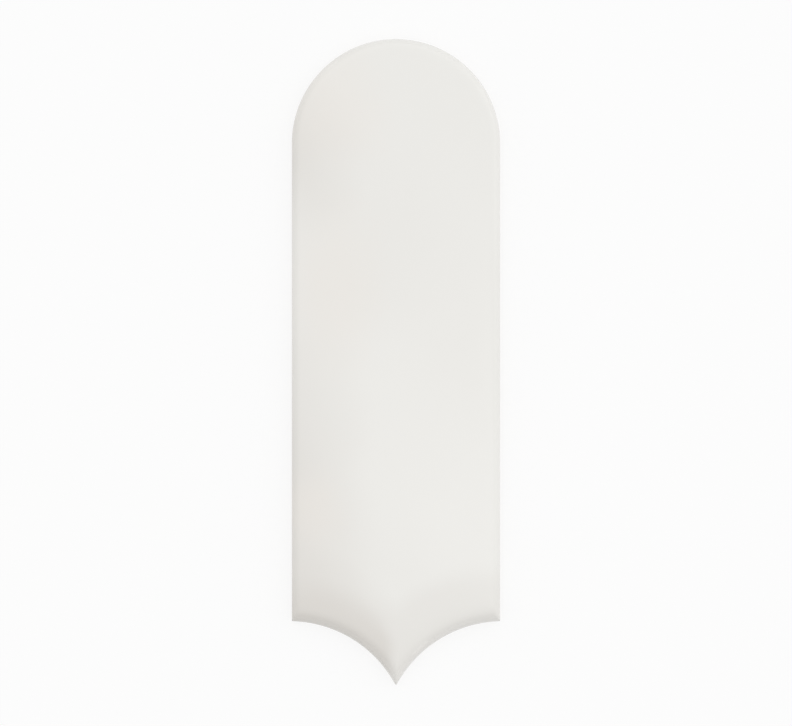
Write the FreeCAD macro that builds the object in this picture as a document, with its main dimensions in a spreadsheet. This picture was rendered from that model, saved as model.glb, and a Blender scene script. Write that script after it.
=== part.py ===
import FreeCAD, Part
import math
import os
import Sketcher
from enum import IntEnum

# A long fish scale wall tile: one pressed, glazed and fired piece of ceramic.
# It lies on its back, glazed face up. +Y points to the arched head, -Y to the pointed tail.
# The origin is the centre of the back. Lengths are in millimetres.
SIZES = {
    "tile_width": 65.0,  # across the two straight sides
    "tile_length": 202.0,  # from the top of the arch to the point of the tail
    "tile_thickness": 8.5,  # from the back to the glazed face
    "joint_width": 5.0,  # room for a joint: by this much a hollow's radius is wider than the arch's
    "tip_drop": 20.3,  # from the top of the hollows down to the point
    "face_round": 2.5,  # radius of the glazed face's rounded edge along the sides and the arch
    "hollow_round": 4.0,  # radius of that edge round the two hollows
    "back_bevel": 0.8,  # bevel round the edge of the back
    "rim_width": 6.0,  # flat border of the back, round the keyed field
    "key_depth": 0.8,  # depth of the channels that key the back into its adhesive
    "rib_width": 4.5,  # ribs left standing between the channels, across their crowns
    "key_draft": 20.0,  # degrees that the channels' walls lean, so that the mould lets go of them
}
RIB_COUNT = 5

doc = FreeCAD.newDocument("scale_tile")
sheet = doc.addObject("Spreadsheet::Sheet", "Sheet")
for row, (alias, value) in enumerate(SIZES.items(), start=1):
    sheet.set(f"A{row}", alias)
    sheet.set(f"B{row}", str(value))
    sheet.setAlias(f"B{row}", alias)
doc.recompute()

# The arch is a half circle over the whole width. Each hollow is struck one joint wider than that arch,
# from a centre below the tile, so that the shape nests in rows.
half_width = sheet.tile_width / 2
arch_level = sheet.tile_length / 2 - half_width
hollow_radius = half_width + sheet.joint_width
hollow_reach = math.sqrt(sheet.tip_drop * (2 * hollow_radius - sheet.tip_drop))
hollow_depth = sheet.tile_length / 2 - sheet.tip_drop + hollow_radius

# The same five as expressions on the sheet.
HALF_WIDTH = "Sheet.tile_width / 2"
ARCH_LEVEL = f"(Sheet.tile_length / 2 - {HALF_WIDTH})"
HOLLOW_RADIUS = f"({HALF_WIDTH} + Sheet.joint_width)"
HOLLOW_REACH = f"sqrt(Sheet.tip_drop * (2 * {HOLLOW_RADIUS} - Sheet.tip_drop))"
HOLLOW_DEPTH = f"(Sheet.tile_length / 2 - Sheet.tip_drop + {HOLLOW_RADIUS})"


class Point(IntEnum):
    """How a sketch numbers the ends and the centre of a line or arc."""

    START = 1
    END = 2
    CENTRE = 3


# How a sketch numbers its own origin and its upright axis.
ORIGIN = (-1, Point.START)
Y_AXIS = -2

# The radius that stands for a straight edge, which has none, and the difference below which two are equal.
STRAIGHT = 0.0
TOLERANCE = 1e-6

body = doc.addObject("PartDesign::Body", "Body")
body.Label = "fish_scale_tile"


def sketch_on(role, name):
    """An empty sketch on one of the tile's own planes: XY_Plane is the back, XZ_Plane stands across it."""
    sketch = body.newObject("Sketcher::SketchObject", name)
    plane = next(o for o in body.Origin.OriginFeatures if o.Role == role)
    sketch.AttachmentSupport = (plane, [""])
    sketch.MapMode = "FlatFace"
    return sketch


def relate(sketch, relations):
    """Adds relations to a sketch, such as ends that meet or a line that stands upright."""
    for relation in relations:
        sketch.addConstraint(Sketcher.Constraint(*relation))


def bind(sketch, name, constraint, expression):
    """Adds a dimension to a sketch under a name, and ties it to the sheet."""
    index = sketch.addConstraint(Sketcher.Constraint(*constraint))
    sketch.renameConstraint(index, name)
    sketch.setExpression(f"Constraints.{name}", expression)


def draw_scale(name, inset, inset_expression):
    """Draws the scale's outline, moved in from the tile's own edge by an inset."""
    sketch = sketch_on("XY_Plane", name)
    half = half_width - inset
    hollow = hollow_radius + inset
    shoulder_rise = math.sqrt(hollow**2 - (hollow_reach - half) ** 2)
    tip_rise = math.sqrt(hollow**2 - hollow_reach**2)
    shoulder_y = shoulder_rise - hollow_depth
    shoulder_angle = math.atan2(shoulder_rise, hollow_reach - half)
    tip_angle = math.atan2(tip_rise, hollow_reach)

    def arc(x, y, radius, first, last):
        circle = Part.Circle(FreeCAD.Vector(x, y), FreeCAD.Vector(0, 0, 1), radius)
        return sketch.addGeometry(Part.ArcOfCircle(circle, first, last))

    def side(x):
        ends = (FreeCAD.Vector(x, shoulder_y), FreeCAD.Vector(x, arch_level))
        return sketch.addGeometry(Part.LineSegment(*ends))

    left = side(-half)
    right = side(half)
    arch = arc(0, arch_level, half, 0, math.pi)
    left_hollow = arc(-hollow_reach, -hollow_depth, hollow, tip_angle, shoulder_angle)
    right_hollow = arc(hollow_reach, -hollow_depth, hollow, math.pi - shoulder_angle, math.pi - tip_angle)
    relations = [
        ("Tangent", right, Point.END, arch, Point.START),
        ("Tangent", left, Point.END, arch, Point.END),
        ("Vertical", left),
        ("Coincident", right, Point.START, right_hollow, Point.START),
        ("Coincident", left, Point.START, left_hollow, Point.END),
        ("Coincident", right_hollow, Point.END, left_hollow, Point.START),
        ("PointOnObject", arch, Point.CENTRE, Y_AXIS),
        ("Symmetric", left_hollow, Point.CENTRE, right_hollow, Point.CENTRE, Y_AXIS),
        ("Equal", left_hollow, right_hollow),
    ]
    relate(sketch, relations)
    radius = ("Radius", arch, half)
    bind(sketch, "arch_radius", radius, f"{HALF_WIDTH} - {inset_expression}")
    level = ("DistanceY", *ORIGIN, arch, Point.CENTRE, arch_level)
    bind(sketch, "arch_level", level, ARCH_LEVEL)
    radius = ("Radius", right_hollow, hollow)
    bind(sketch, "hollow_radius", radius, f"{HOLLOW_RADIUS} + {inset_expression}")
    reach = ("DistanceX", *ORIGIN, right_hollow, Point.CENTRE, hollow_reach)
    bind(sketch, "hollow_reach", reach, HOLLOW_REACH)
    depth = ("DistanceY", right_hollow, Point.CENTRE, *ORIGIN, hollow_depth)
    bind(sketch, "hollow_depth", depth, HOLLOW_DEPTH)
    return sketch


def draw_hollow_edge(name, side):
    """Draws what is cut off the edge of a hollow: a square about the edge, less a round corner.

    The sketch stands on the hollow's own axis, and side is -1 for the left hollow and 1 for the right.
    """
    sketch = sketch_on("XZ_Plane", name)
    sketch.setExpression(".AttachmentOffset.Base.x", f"{side} * {HOLLOW_REACH}")
    sketch.setExpression(".AttachmentOffset.Base.z", HOLLOW_DEPTH)
    radius = sheet.hollow_round
    inner, outer = hollow_radius - radius, hollow_radius + radius
    low, top, high = (sheet.tile_thickness + step * radius for step in (-1, 0, 1))
    circle = Part.Circle(FreeCAD.Vector(outer, low), FreeCAD.Vector(0, 0, 1), radius)
    corner = sketch.addGeometry(Part.ArcOfCircle(circle, math.pi / 2, math.pi))
    points = [(hollow_radius, low), (inner, low), (inner, high), (outer, high), (outer, top)]
    points = [FreeCAD.Vector(x, y) for x, y in points]
    ends = zip(points, points[1:])
    foot, near, head, far = (sketch.addGeometry(Part.LineSegment(*pair)) for pair in ends)
    relations = [
        ("Coincident", corner, Point.END, foot, Point.START),
        ("Coincident", foot, Point.END, near, Point.START),
        ("Coincident", near, Point.END, head, Point.START),
        ("Coincident", head, Point.END, far, Point.START),
        ("Coincident", far, Point.END, corner, Point.START),
        ("Horizontal", foot),
        ("Vertical", near),
        ("Horizontal", head),
        ("Vertical", far),
        ("Horizontal", corner, Point.CENTRE, corner, Point.END),
        ("Vertical", corner, Point.CENTRE, corner, Point.START),
    ]
    relate(sketch, relations)
    bind(sketch, "corner_radius", ("Radius", corner, radius), "Sheet.hollow_round")
    wall = ("DistanceX", *ORIGIN, corner, Point.END, hollow_radius)
    bind(sketch, "hollow_radius", wall, HOLLOW_RADIUS)
    level = ("DistanceY", *ORIGIN, corner, Point.START, top)
    bind(sketch, "top", level, "Sheet.tile_thickness")
    reach = ("DistanceX", foot, Point.END, foot, Point.START, radius)
    bind(sketch, "reach", reach, "Sheet.hollow_round")
    rise = ("DistanceY", far, Point.END, far, Point.START, radius)
    bind(sketch, "rise", rise, "Sheet.hollow_round")
    return sketch


def draw_rib(sketch, number):
    """Draws one rib of the back, level with the rim. It runs into the middle of the rim at both ends."""
    field = sheet.tile_width - 2 * sheet.rim_width
    channel = (field - RIB_COUNT * sheet.rib_width) / (RIB_COUNT + 1)
    left = channel - field / 2 + number * (channel + sheet.rib_width)
    middle = left + sheet.rib_width / 2
    mid_rim = sheet.rim_width / 2
    top = arch_level + math.sqrt((half_width - mid_rim) ** 2 - middle**2)
    rise = math.sqrt((hollow_radius + mid_rim) ** 2 - (hollow_reach - abs(middle)) ** 2)
    bottom = hollow_depth - rise

    FIELD = "(Sheet.tile_width - 2 * Sheet.rim_width)"
    CHANNEL = f"(({FIELD} - {RIB_COUNT} * Sheet.rib_width) / {RIB_COUNT + 1})"
    LEFT = f"({CHANNEL} - {FIELD} / 2 + {number} * ({CHANNEL} + Sheet.rib_width))"
    MIDDLE = f"({LEFT} + Sheet.rib_width / 2)"
    TOP = f"{ARCH_LEVEL} + sqrt(({HALF_WIDTH} - Sheet.rim_width / 2)^2 - {MIDDLE}^2)"
    RISE = f"sqrt(({HOLLOW_RADIUS} + Sheet.rim_width / 2)^2 - ({HOLLOW_REACH} - abs({MIDDLE}))^2)"
    BOTTOM = f"{HOLLOW_DEPTH} - {RISE}"

    right = left + sheet.rib_width
    corners = [(left, -bottom), (right, -bottom), (right, top), (left, top)]
    corners = [FreeCAD.Vector(x, y) for x, y in corners]
    ends = zip(corners, corners[1:] + corners[:1])
    foot, right_side, head, left_side = (sketch.addGeometry(Part.LineSegment(*pair)) for pair in ends)
    relations = [
        ("Coincident", foot, Point.END, right_side, Point.START),
        ("Coincident", right_side, Point.END, head, Point.START),
        ("Coincident", head, Point.END, left_side, Point.START),
        ("Coincident", left_side, Point.END, foot, Point.START),
        ("Horizontal", foot),
        ("Horizontal", head),
        ("Vertical", left_side),
        ("Vertical", right_side),
    ]
    relate(sketch, relations)
    from_axis = ("DistanceX", *ORIGIN, foot, Point.START, left)
    bind(sketch, f"left_{number}", from_axis, LEFT)
    width = ("DistanceX", foot, Point.START, foot, Point.END, right - left)
    bind(sketch, f"width_{number}", width, "Sheet.rib_width")
    below = ("DistanceY", foot, Point.START, *ORIGIN, bottom)
    bind(sketch, f"bottom_{number}", below, BOTTOM)
    above = ("DistanceY", *ORIGIN, head, Point.START, top)
    bind(sketch, f"top_{number}", above, TOP)


def top_edges(feature, radii):
    """The names of the edges round a feature's top that have one of the given radii."""
    names = []
    for number, edge in enumerate(feature.Shape.Edges, start=1):
        radius = getattr(edge.Curve, "Radius", STRAIGHT)
        on_top = edge.BoundBox.ZMin > sheet.tile_thickness - TOLERANCE
        if on_top and any(abs(radius - wanted) < TOLERANCE for wanted in radii):
            names.append(f"Edge{number}")
    return names


def level_face(feature, level):
    """The name of a feature's flat face at a given height."""
    for number, face in enumerate(feature.Shape.Faces, start=1):
        box = face.BoundBox
        if max(abs(box.ZMin - level), abs(box.ZMax - level)) < TOLERANCE:
            return f"Face{number}"
    raise ValueError(f"{feature.Name} has no flat face at {level} mm")


# The pressed slab: the scale's outline at full thickness, with straight sides.
slab = body.newObject("PartDesign::Pad", "Slab")
slab.Profile = draw_scale("TileOutline", 0.0, "0")
slab.setExpression("Length", "Sheet.tile_thickness")
doc.recompute()

# The glazed face's edge, rounded all the way round: along the sides and the arch, then softer round
# the hollows, each turned about its own axis. The two are mitred at the shoulders.
rounded = body.newObject("PartDesign::Fillet", "FaceRound")
rounded.Base = (slab, top_edges(slab, [STRAIGHT, half_width]))
rounded.setExpression("Radius", "Sheet.face_round")
doc.recompute()
softened = []
for name, side in (("Left", -1), ("Right", 1)):
    turned = body.newObject("PartDesign::Groove", f"{name}HollowRound")
    turned.Profile = draw_hollow_edge(f"{name}HollowEdge", side)
    turned.ReferenceAxis = (turned.Profile[0], ["V_Axis"])
    turned.Angle = 360
    doc.recompute()
    softened.append(turned)

# The bevel that clears the edge of the back.
bevelled = body.newObject("PartDesign::Chamfer", "BackBevel")
bevelled.Base = (turned, [level_face(turned, 0.0)])
bevelled.setExpression("Size", "Sheet.back_bevel")
doc.recompute()

# The shallow keyed field of the back, inside a flat rim that follows the tile's outline. Its wall leans in.
sunk = body.newObject("PartDesign::Pocket", "KeyedField")
sunk.Profile = draw_scale("FieldOutline", sheet.rim_width, "Sheet.rim_width")
sunk.setExpression("Length", "Sheet.key_depth")
sunk.setExpression("TaperAngle", "-Sheet.key_draft")
sunk.Reversed = True
doc.recompute()

# The ribs along the field, wider at the root, with the channels between them left for the adhesive.
rib_sketch = sketch_on("XY_Plane", "RibOutlines")
for number in range(RIB_COUNT):
    draw_rib(rib_sketch, number)
ribbed = body.newObject("PartDesign::Pad", "Ribs")
ribbed.Profile = rib_sketch
ribbed.setExpression("Length", "Sheet.key_depth")
ribbed.setExpression("TaperAngle", "Sheet.key_draft")
doc.recompute()

# Nothing is written if a feature failed, or cut or added nothing.
for item in doc.Objects:
    if {"Invalid", "Error"} & set(item.State):
        raise RuntimeError(f"{item.Name} failed: {item.State}")
tile = body.Shape
if tile.isNull() or not tile.isValid() or len(tile.Solids) != 1:
    raise RuntimeError("the tile isn't one valid solid")
volumes = [feature.Shape.Volume for feature in (slab, rounded, *softened, bevelled, ribbed, sunk)]
if volumes != sorted(set(volumes), reverse=True):
    raise RuntimeError(f"a feature cut or added nothing: {volumes}")

os.makedirs("parts", exist_ok=True)
tile.exportStep(os.path.join("parts", f"{body.Label}.step"))
print(f"{body.Label}: {tile.Volume / 1000:.2f} cm3, {len(tile.Faces)} faces")
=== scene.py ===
import math

import bmesh
import bpy
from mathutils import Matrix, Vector, noise
from mathutils.geometry import delaunay_2d_cdt


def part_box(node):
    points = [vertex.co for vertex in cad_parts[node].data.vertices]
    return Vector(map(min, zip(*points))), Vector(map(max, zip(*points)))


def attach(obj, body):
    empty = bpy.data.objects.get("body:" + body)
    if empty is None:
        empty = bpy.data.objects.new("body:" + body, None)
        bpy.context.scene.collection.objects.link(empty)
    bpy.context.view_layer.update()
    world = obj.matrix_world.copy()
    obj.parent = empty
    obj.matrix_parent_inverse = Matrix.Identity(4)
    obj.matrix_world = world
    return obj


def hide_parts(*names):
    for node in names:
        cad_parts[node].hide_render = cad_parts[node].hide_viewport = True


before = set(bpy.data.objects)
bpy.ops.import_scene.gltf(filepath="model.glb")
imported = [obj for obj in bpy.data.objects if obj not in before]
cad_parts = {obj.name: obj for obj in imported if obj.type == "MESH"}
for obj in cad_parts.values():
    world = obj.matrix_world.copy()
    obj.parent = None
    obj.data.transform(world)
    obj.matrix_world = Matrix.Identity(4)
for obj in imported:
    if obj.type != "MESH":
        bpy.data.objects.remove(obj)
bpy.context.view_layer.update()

# The tile's outline. A steel mould presses white-firing clay into a long scale: an arched head,
# straight sides, and a tail that runs to a point between two hollows. Each hollow is one joint
# wider than the arch, so that rows nest, and its corners are softened by the glaze that runs over them.
MM = 0.001
low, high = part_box("fish_scale_tile")
HALF_WIDTH = high.x
THICKNESS = high.z
ARCH_Y = high.y - HALF_WIDTH
JOINT = 5.0 * MM
TIP_DROP = 20.3 * MM
HOLLOW_RADIUS = HALF_WIDTH + JOINT
HOLLOW_X = math.sqrt(TIP_DROP * (2 * HOLLOW_RADIUS - TIP_DROP))
HOLLOW_Y = low.y + TIP_DROP - HOLLOW_RADIUS
CORNER_RADIUS = 0.5 * MM
SIDE_POINTS = 130
ARCH_POINTS = 130
HOLLOW_POINTS = 56
CORNER_POINTS = 8


def line(start, end, count):
    """Points from one place towards another, without the last."""
    return [start.lerp(end, i / count) for i in range(count)]


def arc(centre, radius, first, last, count):
    """Points round a circle from one angle towards another, without the last."""
    angles = [first + (last - first) * i / count for i in range(count)]
    return [centre + radius * Vector((math.cos(a), math.sin(a))) for a in angles]


def scale_outline(inset):
    """The scale's outline, moved in from its edge, anticlockwise from the right shoulder."""
    half = HALF_WIDTH - inset
    hollow = HOLLOW_RADIUS + inset
    reach = hollow + CORNER_RADIUS
    shoulder_x = half - CORNER_RADIUS
    shoulder_y = HOLLOW_Y + math.sqrt(reach**2 - (HOLLOW_X - shoulder_x) ** 2)
    tip_y = HOLLOW_Y + math.sqrt(reach**2 - HOLLOW_X**2)
    to_shoulder = math.atan2(shoulder_y - HOLLOW_Y, shoulder_x - HOLLOW_X)
    to_tip = math.atan2(tip_y - HOLLOW_Y, -HOLLOW_X)
    pi = math.pi
    return [
        *line(Vector((half, shoulder_y)), Vector((half, ARCH_Y)), SIDE_POINTS),
        *arc(Vector((0, ARCH_Y)), half, 0, pi, ARCH_POINTS),
        *line(Vector((-half, ARCH_Y)), Vector((-half, shoulder_y)), SIDE_POINTS),
        *arc(Vector((-shoulder_x, shoulder_y)), CORNER_RADIUS, pi, 2 * pi - to_shoulder, CORNER_POINTS),
        *arc(Vector((-HOLLOW_X, HOLLOW_Y)), hollow, pi - to_shoulder, pi - to_tip, HOLLOW_POINTS),
        *arc(Vector((0, tip_y)), CORNER_RADIUS, 2 * pi - to_tip, pi + to_tip, CORNER_POINTS),
        *arc(Vector((HOLLOW_X, HOLLOW_Y)), hollow, to_tip, to_shoulder, HOLLOW_POINTS),
        *arc(Vector((shoulder_x, shoulder_y)), CORNER_RADIUS, to_shoulder - pi, 0, CORNER_POINTS),
    ]


def from_edges(x, y):
    """How far a place lies in from the sides and arch, and from the left and right hollows."""
    from_side = HALF_WIDTH - math.hypot(x, max(y - ARCH_Y, 0))
    centres = (-HOLLOW_X, HOLLOW_X)
    return [from_side, *(math.hypot(x - centre, y - HOLLOW_Y) - HOLLOW_RADIUS for centre in centres)]


# The glazed face. The mould rounds its edge, most of all round the hollows, and the clay shrinks into
# a shallow cushion as it dries. Gentle waves are left from the pressing, and the glaze that melts
# over them keeps them.
FACE_ROUND = 2.5 * MM
HOLLOW_ROUND = 4.0 * MM
ROUND_EASE = 0.6
MITRE_SHARPNESS = 6
EDGE_SINK = 0.26 * MM
EDGE_SINK_REACH = 3.0 * MM
HOLLOW_SINK = 0.45 * MM
HOLLOW_SINK_REACH = 5.0 * MM
WAVE_HEIGHT = 0.09 * MM
WAVE_LENGTH = 30.0 * MM
RIPPLE_HEIGHT = 0.010 * MM
RIPPLE_LENGTH = 9.0 * MM
RIPPLE_SLICE = 30.0 * MM


def rounding(distance, radius):
    """How far a rounded edge has dropped, at a distance in from the side. It eases into the face."""
    ease = ROUND_EASE * radius
    short = radius - max(distance, 0)
    if short < ease:
        short = max(short + ease, 0) ** 2 / (4 * ease)
    return radius - math.sqrt(radius**2 - short**2)


def face_height(x, y):
    """The height of the face: the tile's top, less its rounded edge, its cushion and its waves."""
    from_side, *from_hollows = from_edges(x, y)
    drops = [rounding(from_side, FACE_ROUND), *(rounding(away, HOLLOW_ROUND) for away in from_hollows)]
    drop = sum(part**MITRE_SHARPNESS for part in drops) ** (1 / MITRE_SHARPNESS)
    sink = EDGE_SINK * math.exp(-from_side / EDGE_SINK_REACH)
    sink += sum(HOLLOW_SINK * math.exp(-away / HOLLOW_SINK_REACH) for away in from_hollows)
    wave = noise.noise(Vector((x, y, 0)) / WAVE_LENGTH)
    ripple = noise.noise(Vector((x, y, RIPPLE_SLICE)) / RIPPLE_LENGTH)
    return THICKNESS - drop - sink - WAVE_HEIGHT * (1 + wave) - RIPPLE_HEIGHT * (1 + ripple)


# The rim. The sides are bare biscuit below and glaze above. The glaze was wiped off the lower edge
# before firing, so it ends in a thick rounded lip at an uneven line, and a bevel clears the back.
BACK_BEVEL = 0.8 * MM
BEVEL_RINGS = (0, 0.5, 0.9)
BEVEL_TOP = 1.15 * BACK_BEVEL
GLAZE_COAT = 0.14 * MM
GLAZE_LINE = 2.5 * MM
GLAZE_LINE_SWAY = 0.7 * MM
GLAZE_LINE_LENGTH = 14.0 * MM
LIP_COVER = 0.85
LIP_STEPS = 6
ROUND_STEPS = 16
BAND_WIDTH = 6.2 * MM
BAND_RINGS = 9
BAND_SPREAD = 1.4

tile_mesh = bmesh.new()
glaze_layer = tile_mesh.verts.layers.float.new("glaze")


def glaze_line(point):
    """The height at which the glaze ends, on the side below a point of the outline."""
    sway = noise.noise(Vector((point.x, point.y, 0)) / GLAZE_LINE_LENGTH)
    return GLAZE_LINE + GLAZE_LINE_SWAY * sway


def add_points(points, heights, glaze):
    """New vertices at some places, with how far they are covered by glaze."""
    added = [tile_mesh.verts.new((x, y, height)) for (x, y), height in zip(points, heights)]
    for vertex in added:
        vertex[glaze_layer] = glaze
    return added


def level_ring(points, height):
    """A ring of bare biscuit at one height."""
    return add_points(points, [height] * len(points), 0)


def face_points(points):
    """Glazed vertices on the face."""
    return add_points(points, [face_height(x, y) for x, y in points], 1)


def bridge(lower, upper):
    """Four-sided faces between two rings of as many vertices."""
    for i in range(len(lower)):
        j = (i + 1) % len(lower)
        tile_mesh.faces.new((lower[i], lower[j], upper[j], upper[i]))


# Bevel and biscuit side, from the back up to just under the glaze.
rings = []
for share in BEVEL_RINGS:
    rings.append(level_ring(scale_outline(GLAZE_COAT + BACK_BEVEL * (1 - share)), BACK_BEVEL * share))
rings.append(level_ring(scale_outline(GLAZE_COAT), BEVEL_TOP))

# The glaze's lip, a quarter round from the biscuit out to the full width.
for step in range(LIP_STEPS + 1):
    angle = step / LIP_STEPS * math.pi / 2
    points = scale_outline(GLAZE_COAT * (1 - math.sin(angle)))
    rise = GLAZE_COAT * (1 - math.cos(angle))
    cover = LIP_COVER if step > 0 else 0
    rings.append(add_points(points, [glaze_line(point) + rise for point in points], cover))

# The rounded edge, then the outer band of the face, with rings further apart towards the middle.
round_angles = [step / ROUND_STEPS * math.pi / 2 for step in range(ROUND_STEPS + 1)]
band_shares = [((ring + 1) / BAND_RINGS) ** BAND_SPREAD for ring in range(BAND_RINGS)]
insets = [FACE_ROUND * (1 - math.cos(angle)) for angle in round_angles]
insets += [FACE_ROUND + BAND_WIDTH * share for share in band_shares]
rings += [face_points(scale_outline(inset)) for inset in insets]
for lower, upper in zip(rings, rings[1:]):
    bridge(lower, upper)

# The middle of the face, on an even grid of staggered rows inside the rim's last ring.
FACE_GRID = 1.0 * MM
GRID_CLEARANCE = 0.6 * MM
MERGE_DISTANCE = 1e-9
INSIDE_ONLY = 1


def fill(loops, loose=(), keep=None):
    """Triangles inside closed loops, through loose vertices, where keep allows a triangle's middle."""
    vertices = [vertex for loop in loops for vertex in loop]
    edges = []
    for loop in loops:
        first = len(edges)
        edges += [(first + i, first + (i + 1) % len(loop)) for i in range(len(loop))]
    vertices += loose
    flat = [vertex.co.to_2d() for vertex in vertices]
    triangles, origins = delaunay_2d_cdt(flat, edges, [], INSIDE_ONLY, MERGE_DISTANCE)[2:4]
    for triangle in triangles:
        corners = [vertices[origins[i][0]] for i in triangle]
        middle = sum((corner.co for corner in corners), Vector()) / len(corners)
        if keep is None or keep(middle.x, middle.y):
            tile_mesh.faces.new(corners)


grid = []
row_height = FACE_GRID * math.sqrt(3) / 2
for row in range(math.ceil((high.y - low.y) / row_height)):
    y = low.y + row * row_height
    stagger = FACE_GRID / 2 * (row % 2)
    for column in range(math.ceil(2 * HALF_WIDTH / FACE_GRID)):
        x = column * FACE_GRID + stagger - HALF_WIDTH
        if y > HOLLOW_Y and min(from_edges(x, y)) > insets[-1] + GRID_CLEARANCE:
            grid.append((x, y))
fill([rings[-1]], face_points(grid))

# The back, bare biscuit. The mould leaves a flat border and ribs along it, with channels between them
# that the adhesive keys into. The channels' walls lean, so that the mould lets go of the clay.
RIM_WIDTH = 6.0 * MM
KEY_DEPTH = 0.8 * MM
RIB_WIDTH = 4.5 * MM
RIB_COUNT = 5
KEY_DRAFT = math.radians(20)
WALL_SOFTNESS = 0.10 * MM
WALL_STEPS = 8
CHANNEL_SIDE_POINTS = 48
CHANNEL_END_POINTS = 10
SHARP_ANGLE = math.radians(32)
field_half = HALF_WIDTH - RIM_WIDTH
channel_width = (2 * field_half - RIB_COUNT * RIB_WIDTH) / (RIB_COUNT + 1)
wall_lean = KEY_DEPTH * math.tan(KEY_DRAFT) + 2 * WALL_SOFTNESS


def channel_outline(left, right, inset):
    """One channel's outline, moved in from its lip, anticlockwise from the foot of its left side."""
    x0 = left + inset
    x1 = right - inset
    arch = field_half - inset
    hollow = HOLLOW_RADIUS + RIM_WIDTH + inset

    def foot(x):
        return Vector((x, HOLLOW_Y + math.sqrt(hollow**2 - (HOLLOW_X - abs(x)) ** 2)))

    def head(x):
        return Vector((x, ARCH_Y + math.sqrt(max(arch**2 - x**2, 0))))

    steps = [i / CHANNEL_END_POINTS for i in range(CHANNEL_END_POINTS)]
    head_angles = [math.acos(min(max(x / arch, -1), 1)) for x in (x1, x0)]
    return [
        *(foot(x0 + (x1 - x0) * step) for step in steps),
        *line(foot(x1), head(x1), CHANNEL_SIDE_POINTS),
        *arc(Vector((0, ARCH_Y)), arch, *head_angles, CHANNEL_END_POINTS),
        *line(head(x0), foot(x0), CHANNEL_SIDE_POINTS),
    ]


lips = []
channels = []
for number in range(RIB_COUNT + 1):
    left = number * (channel_width + RIB_WIDTH) - field_half
    right = left + channel_width
    walls = []
    for step in range(WALL_STEPS + 1):
        inset = wall_lean * step / WALL_STEPS - WALL_SOFTNESS
        height = KEY_DEPTH * (1 - math.cos(math.pi * step / WALL_STEPS)) / 2
        walls.append(level_ring(channel_outline(left, right, inset), height))
    for lower, upper in zip(walls, walls[1:]):
        bridge(lower, upper)
    fill([walls[-1]])
    lips.append(walls[0])
    channels.append((left - WALL_SOFTNESS, right + WALL_SOFTNESS))


def on_back_flat(x, y):
    """Whether a place on the back is on the border or a rib, and not over a channel."""
    if not any(left < x < right for left, right in channels):
        return True
    return min(from_edges(x, y)) < RIM_WIDTH - WALL_SOFTNESS


fill([rings[0], *lips], keep=on_back_flat)

bmesh.ops.recalc_face_normals(tile_mesh, faces=tile_mesh.faces)
mesh = bpy.data.meshes.new("glazed_tile")
tile_mesh.to_mesh(mesh)
tile_mesh.free()
mesh.shade_smooth()
mesh.set_sharp_from_angle(angle=SHARP_ANGLE)
tile = bpy.data.objects.new("glazed_tile", mesh)
bpy.context.scene.collection.objects.link(tile)
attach(tile, "root")
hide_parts("fish_scale_tile")

# The finish: a glossy off-white glaze with faint smoky clouds, which also darken the left half as
# painted shade, a warm blush, and painted shade over the tail along the hollows, over matt cream biscuit
# that warms it where it thins at the lip. The biscuit has sparse specks of iron, and a pale kiln wash is
# left in patches on the crowns of the back.
GLAZE_WHITE = (0.840, 0.831, 0.799, 1)
# The smoke tone is the glaze's own grey, and also the colour of the painted shade on the left half and
# over the tail.
GLAZE_SMOKE_AND_SHADE = (0.700, 0.672, 0.632, 1)
GLAZE_BLUSH = (0.835, 0.795, 0.745, 1)
GLAZE_IOR = 1.52
GLAZE_ROUGHNESS = 0.06
BREATH_ROUGHNESS = 0.04
BREATH_LENGTH = 18.0 * MM
BREATH_RANGE = (0.35, 0.65)
PEEL_SHARE = 0.12
PEEL_LENGTH = 2.2 * MM
BISCUIT = (0.68, 0.60, 0.48, 1)
BISCUIT_ROUGHNESS = 0.80
GRAIN_LENGTH = 0.5 * MM
GRAIN_DEPTH = 0.10 * MM
GRAIN_STRENGTH = 0.25
WASH = (0.80, 0.76, 0.68, 1)
WASH_SHARE = 0.75
WASH_PATCH_LENGTH = 28.0 * MM
WASH_PATCH_RANGE = (0.42, 0.62)
WASH_GRIT_LENGTH = 1.4 * MM
WASH_GRIT_RANGE = (0.30, 0.60)
CROWN_HEIGHTS = (0.05 * MM, 0.35 * MM)
SPECK = (0.33, 0.24, 0.16, 1)
SPECK_SHARE = 0.70
SPECK_SPACING = 4.0 * MM
SPECK_SIZES = (0.21 * MM, 0.42 * MM)

# Each cloud is a place and a half size on the face, in millimetres. A share is how much of a tone is
# mixed in where it is strongest, a reach is where it starts to fade and where it is gone, and a range
# is the values of its noise between which it comes in.
# Both smoke clouds lie over the left half, so besides the glaze's own grey tone they are painted shade
# that darkens that side.
SMOKE_AND_SHADE_CLOUDS = [((-30, 66), (24, 32)), ((-33, -45), (32, 80))]
SMOKE_AND_SHADE_SHARE = 0.46
BLUSH_CLOUDS = [((-16, 80), (20, 26)), ((-20, 24), (21, 36)), ((-24, -48), (13, 20))]
BLUSH_SHARE = 0.42
CLOUD_REACH = (0.1, 1.0)
CLOUD_SWAY = 22.0 * MM
CLOUD_SWAY_LENGTH = 40.0 * MM
HAZE_SHARE = 0.10
HAZE_LENGTH = 60.0 * MM
HAZE_RANGE = (0.40, 0.75)
# Painted shade over the tail: a smoky tone laid along the hollows, widest and darkest left of the point,
# where the rounded hollows fall into shade.
TAIL_SHADE_SHARE = 0.26
TAIL_SHADE_REACH = (12.0 * MM, 22.0 * MM)
HOLLOW_SHADE_SHARE = 0.05
HOLLOW_SHADE_REACH = (1.0 * MM, 9.0 * MM)
LEFT_TAIL_SHADE_SHARE = 0.56
LEFT_TAIL_SHADE_REACH = (6.0 * MM, 15.0 * MM)
LEFT_OF_POINT = (-5.0 * MM, 0.0)


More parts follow.
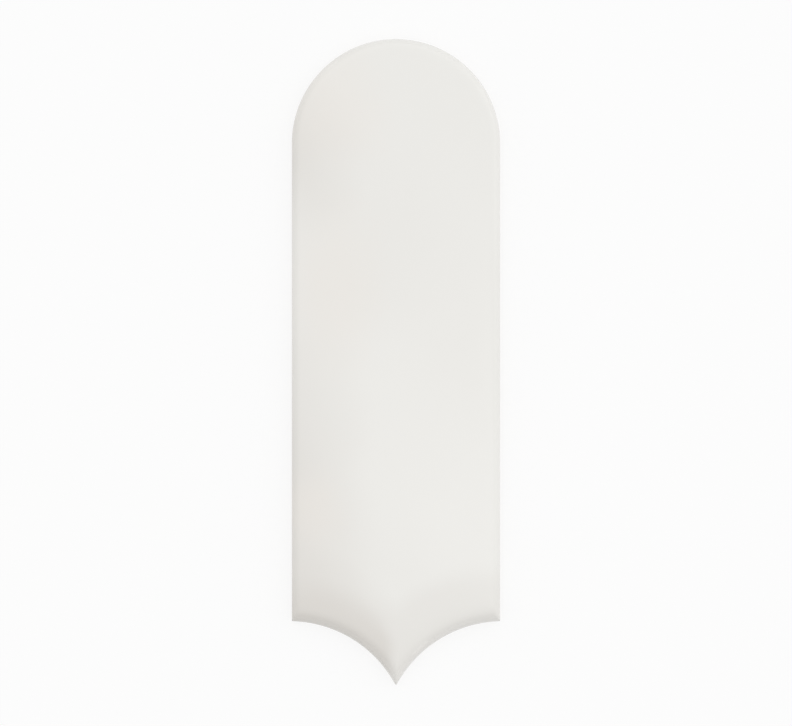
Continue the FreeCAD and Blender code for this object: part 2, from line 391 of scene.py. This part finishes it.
class Pattern:
    """A socket of a shader's nodes. Arithmetic on it adds Math nodes, and node() adds any other."""

    def __init__(self, tree, socket=None):
        self.tree = tree
        self.socket = socket

    def node(self, kind, settings, inputs, output=0):
        node = self.tree.nodes.new(kind)
        for name, value in settings.items():
            setattr(node, name, value)
        for name, value in inputs.items():
            if isinstance(value, Pattern):
                self.tree.links.new(value.socket, node.inputs[name])
            else:
                node.inputs[name].default_value = value
        return Pattern(self.tree, node.outputs[output] if node.outputs else None)

    def math(self, operation, first, second):
        return self.node("ShaderNodeMath", {"operation": operation}, {0: first, 1: second})

    def vector_math(self, operation, first, second, output="Vector"):
        return self.node("ShaderNodeVectorMath", {"operation": operation}, {0: first, 1: second}, output)

    def along(self, axis):
        """How far a vector reaches along an axis."""
        return self.vector_math("DOT_PRODUCT", self, axis, "Value")

    def ease(self, low_end, high_end):
        """A smooth step from 0 to 1 as the value goes between two ends."""
        inputs = {"Value": self, "From Min": low_end, "From Max": high_end}
        return self.node("ShaderNodeMapRange", {"interpolation_type": "SMOOTHSTEP"}, inputs)

    def fade(self, low_end, high_end):
        """A smooth step from 1 to 0 as the value goes between two ends."""
        return 1 - self.ease(low_end, high_end)

    def __add__(self, other):
        return self.math("ADD", self, other)

    def __sub__(self, other):
        return self.math("SUBTRACT", self, other)

    def __rsub__(self, other):
        return self.math("SUBTRACT", other, self)

    def __mul__(self, other):
        return self.math("MULTIPLY", self, other)

    def __pow__(self, exponent):
        return self.math("POWER", self, exponent)

    def __abs__(self):
        return self.math("ABSOLUTE", self, 0)

    __radd__ = __add__
    __rmul__ = __mul__


finish = bpy.data.materials.new("off_white_glaze")
finish.use_nodes = True
finish.node_tree.nodes.clear()
shader = Pattern(finish.node_tree)
place = shader.node("ShaderNodeTexCoord", {}, {}, "Object")
glazed = shader.node("ShaderNodeAttribute", {"attribute_name": "glaze"}, {}, "Fac")


def noise_pattern(length, detail, seed, output="Fac"):
    """Soft noise of one wavelength, about 0 to 1."""
    inputs = {"Vector": place, "W": seed, "Scale": 1 / length, "Detail": detail}
    return shader.node("ShaderNodeTexNoise", {"noise_dimensions": "4D"}, inputs, output)


def blend(factor, first, second):
    """A colour mixed from two. On a Mix node, colours are inputs 6 and 7 and output 2."""
    return shader.node("ShaderNodeMix", {"data_type": "RGBA"}, {0: factor, 6: first, 7: second}, 2)


# Places drift with the noise, so that the tones have no drawn edge.
NOISE_MIDDLE = (0.5, 0.5, 0.5)
sway = noise_pattern(CLOUD_SWAY_LENGTH, detail=2, seed=4, output="Color")
sway = shader.vector_math("SUBTRACT", sway, NOISE_MIDDLE)
sway = shader.vector_math("MULTIPLY", sway, (CLOUD_SWAY, CLOUD_SWAY, 0))
drifted = shader.vector_math("ADD", place, sway)


def cloud_cover(clouds):
    """How far a place lies under any of some clouds."""
    cover = 0
    for (x, y), (half_x, half_y) in clouds:
        offset = shader.vector_math("SUBTRACT", drifted, (x * MM, y * MM, 0))
        spread = shader.vector_math("MULTIPLY", offset, (1 / (half_x * MM), 1 / (half_y * MM), 0))
        distance = shader.vector_math("LENGTH", spread, (0, 0, 0), "Value")
        cover = shader.math("MAXIMUM", distance.fade(*CLOUD_REACH), cover)
    return cover


# Painted shade over the tail, by the distance from the nearer hollow, for the shade of its rounded
# hollows. It is strongest left of the point.
across = drifted.along((1, 0, 0))
to_middle = abs(across) - HOLLOW_X
to_foot = drifted.along((0, 1, 0)) - HOLLOW_Y
from_hollow = (to_middle * to_middle + to_foot * to_foot) ** 0.5 - HOLLOW_RADIUS
tail_painted_shade = from_hollow.fade(*TAIL_SHADE_REACH) * TAIL_SHADE_SHARE
tail_painted_shade += from_hollow.fade(*HOLLOW_SHADE_REACH) * HOLLOW_SHADE_SHARE
tail_painted_shade += from_hollow.fade(*LEFT_TAIL_SHADE_REACH) * across.fade(*LEFT_OF_POINT) * LEFT_TAIL_SHADE_SHARE

haze = noise_pattern(HAZE_LENGTH, detail=3, seed=2).ease(*HAZE_RANGE)
# Partly painted shade: the smoke clouds give the glaze its grey tone and also darken the left half.
smoke_and_shade = haze * HAZE_SHARE + cloud_cover(SMOKE_AND_SHADE_CLOUDS) * SMOKE_AND_SHADE_SHARE
glaze_colour = blend(smoke_and_shade, GLAZE_WHITE, GLAZE_SMOKE_AND_SHADE)
glaze_colour = blend(cloud_cover(BLUSH_CLOUDS) * BLUSH_SHARE, glaze_colour, GLAZE_BLUSH)
# Painted shade: the tail is darkened along its hollows.
glaze_colour = blend(tail_painted_shade, glaze_colour, GLAZE_SMOKE_AND_SHADE)

crown = place.along((0, 0, 1)).fade(*CROWN_HEIGHTS)
wash_patches = noise_pattern(WASH_PATCH_LENGTH, detail=6, seed=5).ease(*WASH_PATCH_RANGE)
wash_grit = noise_pattern(WASH_GRIT_LENGTH, detail=3, seed=6).ease(*WASH_GRIT_RANGE)
speck_inputs = {"Vector": place, "Scale": 1 / SPECK_SPACING}
to_speck = shader.node("ShaderNodeTexVoronoi", {}, speck_inputs, "Distance") * SPECK_SPACING
biscuit_colour = blend(crown * wash_patches * wash_grit * WASH_SHARE, BISCUIT, WASH)
biscuit_colour = blend(to_speck.fade(*SPECK_SIZES) * SPECK_SHARE, biscuit_colour, SPECK)

# The glaze's surface breathes between glossier and duller, with a faint peel. The biscuit is grainy.
breath = noise_pattern(BREATH_LENGTH, detail=3, seed=8).ease(*BREATH_RANGE)
glaze_roughness = GLAZE_ROUGHNESS + breath * BREATH_ROUGHNESS
peel = noise_pattern(PEEL_LENGTH, detail=1, seed=11)
grain = noise_pattern(GRAIN_LENGTH, detail=3, seed=3)
relief = glazed * peel * PEEL_SHARE + (1 - glazed) * grain
bump = {"Strength": GRAIN_STRENGTH, "Distance": GRAIN_DEPTH, "Height": relief}
surface = shader.node(
    "ShaderNodeBsdfPrincipled",
    {},
    {
        "Base Color": blend(glazed, biscuit_colour, glaze_colour),
        "Roughness": BISCUIT_ROUGHNESS - glazed * (BISCUIT_ROUGHNESS - glaze_roughness),
        "IOR": GLAZE_IOR,
        "Normal": shader.node("ShaderNodeBump", {}, bump),
    },
)
shader.node("ShaderNodeOutputMaterial", {}, {"Surface": surface})
tile.data.materials.append(finish)

# The floor: a plain white studio table that the tile lies on. It shows white to the camera, and keeps
# a faint soft shadow under the tile's edge.
FLOOR_HALF = 4.0
FLOOR_GAP = 0.02 * MM
FLOOR_WHITE = (0.87, 0.87, 0.87, 1)
FLOOR_GLOW = 0.84
WHITE = (1, 1, 1, 1)

floor_mesh = bpy.data.meshes.new("floor")
floor_corners = [(-1, -1), (1, -1), (1, 1), (-1, 1)]
floor_points = [(x * FLOOR_HALF, y * FLOOR_HALF, -FLOOR_GAP) for x, y in floor_corners]
floor_mesh.from_pydata(floor_points, [], [range(len(floor_points))])
floor = bpy.data.objects.new("floor", floor_mesh)
bpy.context.scene.collection.objects.link(floor)


def looked_at(tree_start):
    """1 for rays from the camera, a reflection or a clear body, and 0 for other light."""
    seen = 0
    for ray in ("Is Camera Ray", "Is Glossy Ray", "Is Transmission Ray"):
        seen = tree_start.math("MAXIMUM", tree_start.node("ShaderNodeLightPath", {}, {}, ray), seen)
    return seen


white = bpy.data.materials.new("white_floor")
white.use_nodes = True
white.node_tree.nodes.clear()
floor_shader = Pattern(white.node_tree)
matt = floor_shader.node("ShaderNodeBsdfDiffuse", {}, {"Color": FLOOR_WHITE})
glow = floor_shader.node("ShaderNodeEmission", {}, {"Color": WHITE, "Strength": 1.0})
share = looked_at(floor_shader) * FLOOR_GLOW
mixed = floor_shader.node("ShaderNodeMixShader", {}, {0: share, 1: matt, 2: glow})
floor_shader.node("ShaderNodeOutputMaterial", {}, {"Surface": mixed})
floor.data.materials.append(white)

# The light is one plain white room: a white backdrop all round, dimmer walls above it, brightest at the
# sides and dimmest beyond the tail, and a wide ceiling that is brightest towards the head's right.
# Tall windows stand round the room, and the glaze mirrors them.
WALL_LIGHT = 0.40
SIDE_WALL_LIGHT = 0.42
SIDE_WALL_RANGE = (0.3, 1.0)
HEAD_WALL_LIGHT = 0.22
HEAD_WALL = Vector((0.20, 0.93, 0.30)).normalized()
HEAD_WALL_RANGE = (-0.9, 0.3)
CEILING_LIGHT = 0.65
CEILING_MIDDLE = Vector((0.20, 0.20, 0.96)).normalized()
CEILING_RANGE = (0.55, 0.98)
BACKDROP_LIGHT = 0.975
BACKDROP_TOP = (0.16, 0.42)
WINDOW_AZIMUTHS = (35, 125, 215, 305)
WINDOW_DISTANCE = 1.9
WINDOW_HEIGHT = 0.80
WINDOW_SIZE = (0.22, 0.90)
WINDOW_WATTS = 0.46
PANEL_PLACE = (0.14, -0.09, 0.75)
PANEL_SIZE = (0.34, 0.50)
PANEL_WATTS = 0.30
PANEL_FADE = 0.35

world = bpy.data.worlds.new("white_room")
world.use_nodes = True
world.node_tree.nodes.clear()
bpy.context.scene.world = world
direction = Pattern(world.node_tree).node("ShaderNodeTexCoord", {}, {}, "Generated")
wall = WALL_LIGHT + abs(direction.along((1, 0, 0))).ease(*SIDE_WALL_RANGE) * SIDE_WALL_LIGHT
wall += direction.along(HEAD_WALL).ease(*HEAD_WALL_RANGE) * HEAD_WALL_LIGHT
backdrop = direction.along((0, 0, 1)).fade(*BACKDROP_TOP) * looked_at(direction)
ceiling = direction.along(CEILING_MIDDLE).ease(*CEILING_RANGE) * CEILING_LIGHT
level = wall + backdrop * (BACKDROP_LIGHT - wall) + ceiling
room = direction.node("ShaderNodeBackground", {}, {"Color": WHITE, "Strength": level})
direction.node("ShaderNodeOutputWorld", {}, {"Surface": room})


def add_lamp(name, spot, size, watts):
    """A rectangular lamp that faces the tile."""
    lamp = bpy.data.lights.new(name, "AREA")
    lamp.shape = "RECTANGLE"
    lamp.size, lamp.size_y = size
    lamp.energy = watts
    holder = bpy.data.objects.new(name, lamp)
    holder.location = spot
    holder.rotation_euler = (-Vector(spot)).to_track_quat("-Z", "Y").to_euler()
    bpy.context.scene.collection.objects.link(holder)
    return lamp


for azimuth in WINDOW_AZIMUTHS:
    turn = math.radians(azimuth)
    spot = (WINDOW_DISTANCE * math.cos(turn), WINDOW_DISTANCE * math.sin(turn), WINDOW_HEIGHT)
    add_lamp(f"window_{azimuth}", spot, WINDOW_SIZE, WINDOW_WATTS)

# A soft-edged panel overhead, to the right and towards the tail, brightens that part of the glaze.
panel = add_lamp("overhead_panel", PANEL_PLACE, PANEL_SIZE, PANEL_WATTS)
panel.use_nodes = True
panel.node_tree.nodes.clear()
on_panel = Pattern(panel.node_tree).node("ShaderNodeNewGeometry", {}, {}, "Parametric")
strength = 1.0
for axis in ((1, 0, 0), (0, 1, 0)):
    across_panel = on_panel.along(axis)
    strength *= across_panel.ease(0, PANEL_FADE) * across_panel.fade(1 - PANEL_FADE, 1)
panel_glow = on_panel.node("ShaderNodeEmission", {}, {"Color": WHITE, "Strength": strength})
on_panel.node("ShaderNodeOutputLight", {}, {"Surface": panel_glow})

# The camera looks straight down, as the photograph does, with the arched head at the top. It stands
# well back on a long lens, so that the outline keeps its true proportions.
LENS = 120.0
SENSOR = 36.0
PICTURE_WIDTH = 792
TILE_HEIGHT_IN_PICTURE = 650

camera_data = bpy.data.cameras.new("camera")
camera_data.lens = LENS
camera_data.sensor_width = SENSOR
pixel = SENSOR / PICTURE_WIDTH / LENS
camera_height = (high.y - low.y) / (TILE_HEIGHT_IN_PICTURE * pixel)
camera = bpy.data.objects.new("camera", camera_data)
camera.location = (0, 0, THICKNESS + camera_height)
bpy.context.scene.collection.objects.link(camera)
bpy.context.scene.camera = camera
bpy.context.scene.view_settings.view_transform = "Standard"
